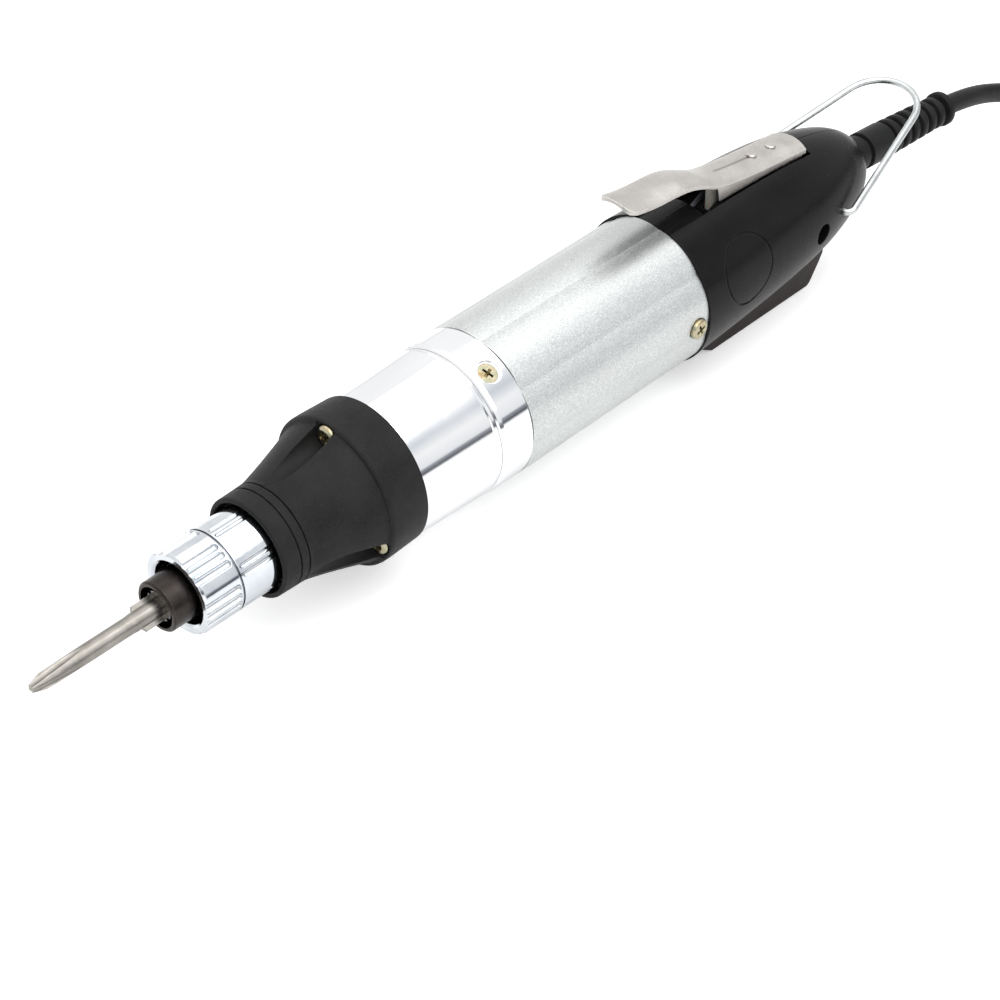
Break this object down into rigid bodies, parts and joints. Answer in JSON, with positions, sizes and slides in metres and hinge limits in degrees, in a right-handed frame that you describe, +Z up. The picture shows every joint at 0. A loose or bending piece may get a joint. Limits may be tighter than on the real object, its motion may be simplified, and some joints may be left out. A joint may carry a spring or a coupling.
{
  "type": "electric torque screwdriver",
  "caption": "Slim corded electric screwdriver with a fluted torque knob, quick-release bit collar, start lever, reversing rocker and hanging bail",
  "frame": {"origin": "centre of the tool's footprint, from the bit's point to the strain relief's end, on the ground it lies on", "axes": "+X runs from the bit towards the cord, +Z points up through the start lever, +Y lies across; the handle screw's head is on the -Y side"},
  "size_m": [0.5647, 0.0385, 0.0519],
  "materials": {
    "chrome": "polished chrome plating",
    "polished_aluminium": "polished aluminium",
    "silver_paint": "metallic satin silver paint",
    "dark_steel": "dark oxide steel",
    "bit_steel": "hardened steel, dull grey",
    "spindle_steel": "ground steel",
    "stainless": "warm brushed stainless sheet",
    "zinc_screw": "yellow zinc-plated steel",
    "spring_steel": "spring wire",
    "bail_wire": "bright zinc-plated wire",
    "gear_steel": "sintered steel",
    "motor_steel": "zinc-plated sheet steel",
    "lamination": "lamination steel",
    "bronze": "sintered bronze",
    "copper": "enamelled copper",
    "magnet": "ferrite",
    "carbon": "carbon brush",
    "black_moulding": "gloss black moulding",
    "nose_moulding": "matt black moulding",
    "rocker_moulding": "brown-grey moulding",
    "switch_plastic": "black switch plastic",
    "white_nylon": "natural nylon",
    "cord_pvc": "black flexible PVC",
    "nickel_shell": "nickel-plated sheet"
  },
  "bodies": {
    "base": {"barrel": "silver_paint", "barrel_screws": "zinc_screw", "clamp_ring": "polished_aluminium", "ring_screws": "zinc_screw", "front_tube": "polished_aluminium", "nose_cone": "nose_moulding", "nose_screws": "zinc_screw", "ring_gear": "gear_steel", "gear_plate": "motor_steel", "motor_can": "motor_steel", "motor_end_cap": "switch_plastic", "motor_bushes": "bronze", "magnets": "magnet", "brushes": "carbon", "shell_left": "black_moulding", "shell_right": "black_moulding", "shell_screw": "zinc_screw", "lever_pin": "spindle_steel", "start_switch": "switch_plastic", "rocker_pins": "spindle_steel", "selector_switch": "switch_plastic", "strain_relief": "cord_pvc", "cord_tube": "cord_pvc", "cord_hank": "cord_pvc", "cord_tie": "switch_plastic", "cord_tail": "cord_pvc", "plug_body": "cord_pvc", "plug_shell": "nickel_shell", "plug_contacts": "nickel_shell"},
    "rotor": {"armature_shaft": "spindle_steel", "pinion": "gear_steel", "armature_core": "lamination", "windings": "copper", "commutator": "copper"},
    "carrier": {"first_carrier": "gear_steel"},
    "output": {"clutch_driver": "gear_steel", "clutch_balls": "spindle_steel", "clutch_plate": "spindle_steel", "spindle": "spindle_steel", "lock_balls": "spindle_steel", "bit": "bit_steel", "collar_clip": "spring_steel", "collar_spring": "spring_steel", "torque_spring": "spring_steel"},
    "collar": {"bit_collar": "dark_steel"},
    "knob_travel": {"spring_seat": "spindle_steel"},
    "knob": {"torque_knob": "chrome", "knob_bush": "bronze"},
    "lever": {"lever": "stainless", "lever_rivets": "stainless", "lever_leaf_spring": "spring_steel"},
    "pusher": {"switch_pusher": "white_nylon"},
    "rocker": {"rocker": "rocker_moulding"},
    "bail": {"bail": "bail_wire"},
    "first_planet_1": {"first_planet_1": "gear_steel"},
    "second_planet_1": {"second_planet_1": "gear_steel"},
    "first_planet_2": {"first_planet_2": "gear_steel"},
    "second_planet_2": {"second_planet_2": "gear_steel"},
    "first_planet_3": {"first_planet_3": "gear_steel"},
    "second_planet_3": {"second_planet_3": "gear_steel"}
  },
  "joints": [
    {"name": "rotor_spin", "type": "hinge", "parent": "base", "child": "rotor", "pos_m": [-0.00491, 0, 0.0216], "axis": [1, 0, 0], "continuous": true},
    {"name": "carrier_spin", "type": "hinge", "parent": "base", "child": "carrier", "pos_m": [-0.02991, 0, 0.0216], "axis": [1, 0, 0], "continuous": true},
    {"name": "output_spin", "type": "hinge", "parent": "base", "child": "output", "pos_m": [-0.06491, 0, 0.0216], "axis": [1, 0, 0], "continuous": true},
    {"name": "first_planet_1_spin", "type": "hinge", "parent": "carrier", "child": "first_planet_1", "pos_m": [-0.02591, 0, 0.0291], "axis": [1, 0, 0], "continuous": true},
    {"name": "second_planet_1_spin", "type": "hinge", "parent": "output", "child": "second_planet_1", "pos_m": [-0.03591, 0, 0.0291], "axis": [1, 0, 0], "continuous": true},
    {"name": "first_planet_2_spin", "type": "hinge", "parent": "carrier", "child": "first_planet_2", "pos_m": [-0.02591, -0.00649, 0.01785], "axis": [1, 0, 0], "continuous": true},
    {"name": "second_planet_2_spin", "type": "hinge", "parent": "output", "child": "second_planet_2", "pos_m": [-0.03591, -0.00649, 0.01785], "axis": [1, 0, 0], "continuous": true},
    {"name": "first_planet_3_spin", "type": "hinge", "parent": "carrier", "child": "first_planet_3", "pos_m": [-0.02591, 0.00649, 0.01785], "axis": [1, 0, 0], "continuous": true},
    {"name": "second_planet_3_spin", "type": "hinge", "parent": "output", "child": "second_planet_3", "pos_m": [-0.03591, 0.00649, 0.01785], "axis": [1, 0, 0], "continuous": true},
    {"name": "collar_slide", "type": "slide", "parent": "output", "child": "collar", "axis": [1, 0, 0], "range_m": [0, 0.0025], "stiffness_N_per_m": 400, "springref_m": -0.004, "deforming": ["collar_spring"]},
    {"name": "knob_travel", "type": "slide", "parent": "base", "child": "knob_travel", "axis": [1, 0, 0], "range_m": [-0.00075, 0.00375], "deforming": ["torque_spring"]},
    {"name": "knob_turn", "type": "hinge", "parent": "knob_travel", "child": "knob", "pos_m": [-0.09891, 0, 0.0216], "axis": [1, 0, 0], "range_deg": [-180.1, 900.1]},
    {"name": "lever_press", "type": "hinge", "parent": "base", "child": "lever", "pos_m": [0.07609, 0, 0.0356], "axis": [0, -1, 0], "range_deg": [0, 5], "stiffness_Nm_per_rad": 1.3, "springref_deg": -4.98, "deforming": ["lever_leaf_spring"]},
    {"name": "pusher_slide", "type": "slide", "parent": "base", "child": "pusher", "axis": [0, 0, -1], "range_m": [0, 0.0021]},
    {"name": "rocker_tilt", "type": "hinge", "parent": "base", "child": "rocker", "pos_m": [0.06309, 0, 0.0104], "axis": [0, 1, 0], "range_deg": [-4, 4]},
    {"name": "bail_swing", "type": "hinge", "parent": "base", "child": "bail", "pos_m": [0.08509, 0, 0.0236], "axis": [0, -1, 0], "range_deg": [-9, 105]}
  ],
  "couplings": [
    {"joint": "carrier_spin", "follows": "rotor_spin", "ratio": 0.2},
    {"joint": "output_spin", "follows": "rotor_spin", "ratio": 0.04},
    {"joint": "first_planet_1_spin", "follows": "rotor_spin", "ratio": -0.53333},
    {"joint": "second_planet_1_spin", "follows": "rotor_spin", "ratio": -0.10667},
    {"joint": "first_planet_2_spin", "follows": "rotor_spin", "ratio": -0.53333},
    {"joint": "second_planet_2_spin", "follows": "rotor_spin", "ratio": -0.10667},
    {"joint": "first_planet_3_spin", "follows": "rotor_spin", "ratio": -0.53333},
    {"joint": "second_planet_3_spin", "follows": "rotor_spin", "ratio": -0.10667},
    {"joint": "knob_turn", "follows": "knob_travel", "rad_per_m": 4188.8},
    {"joint": "pusher_slide", "follows": "lever_press", "m_per_rad": 0.023}
  ]
}
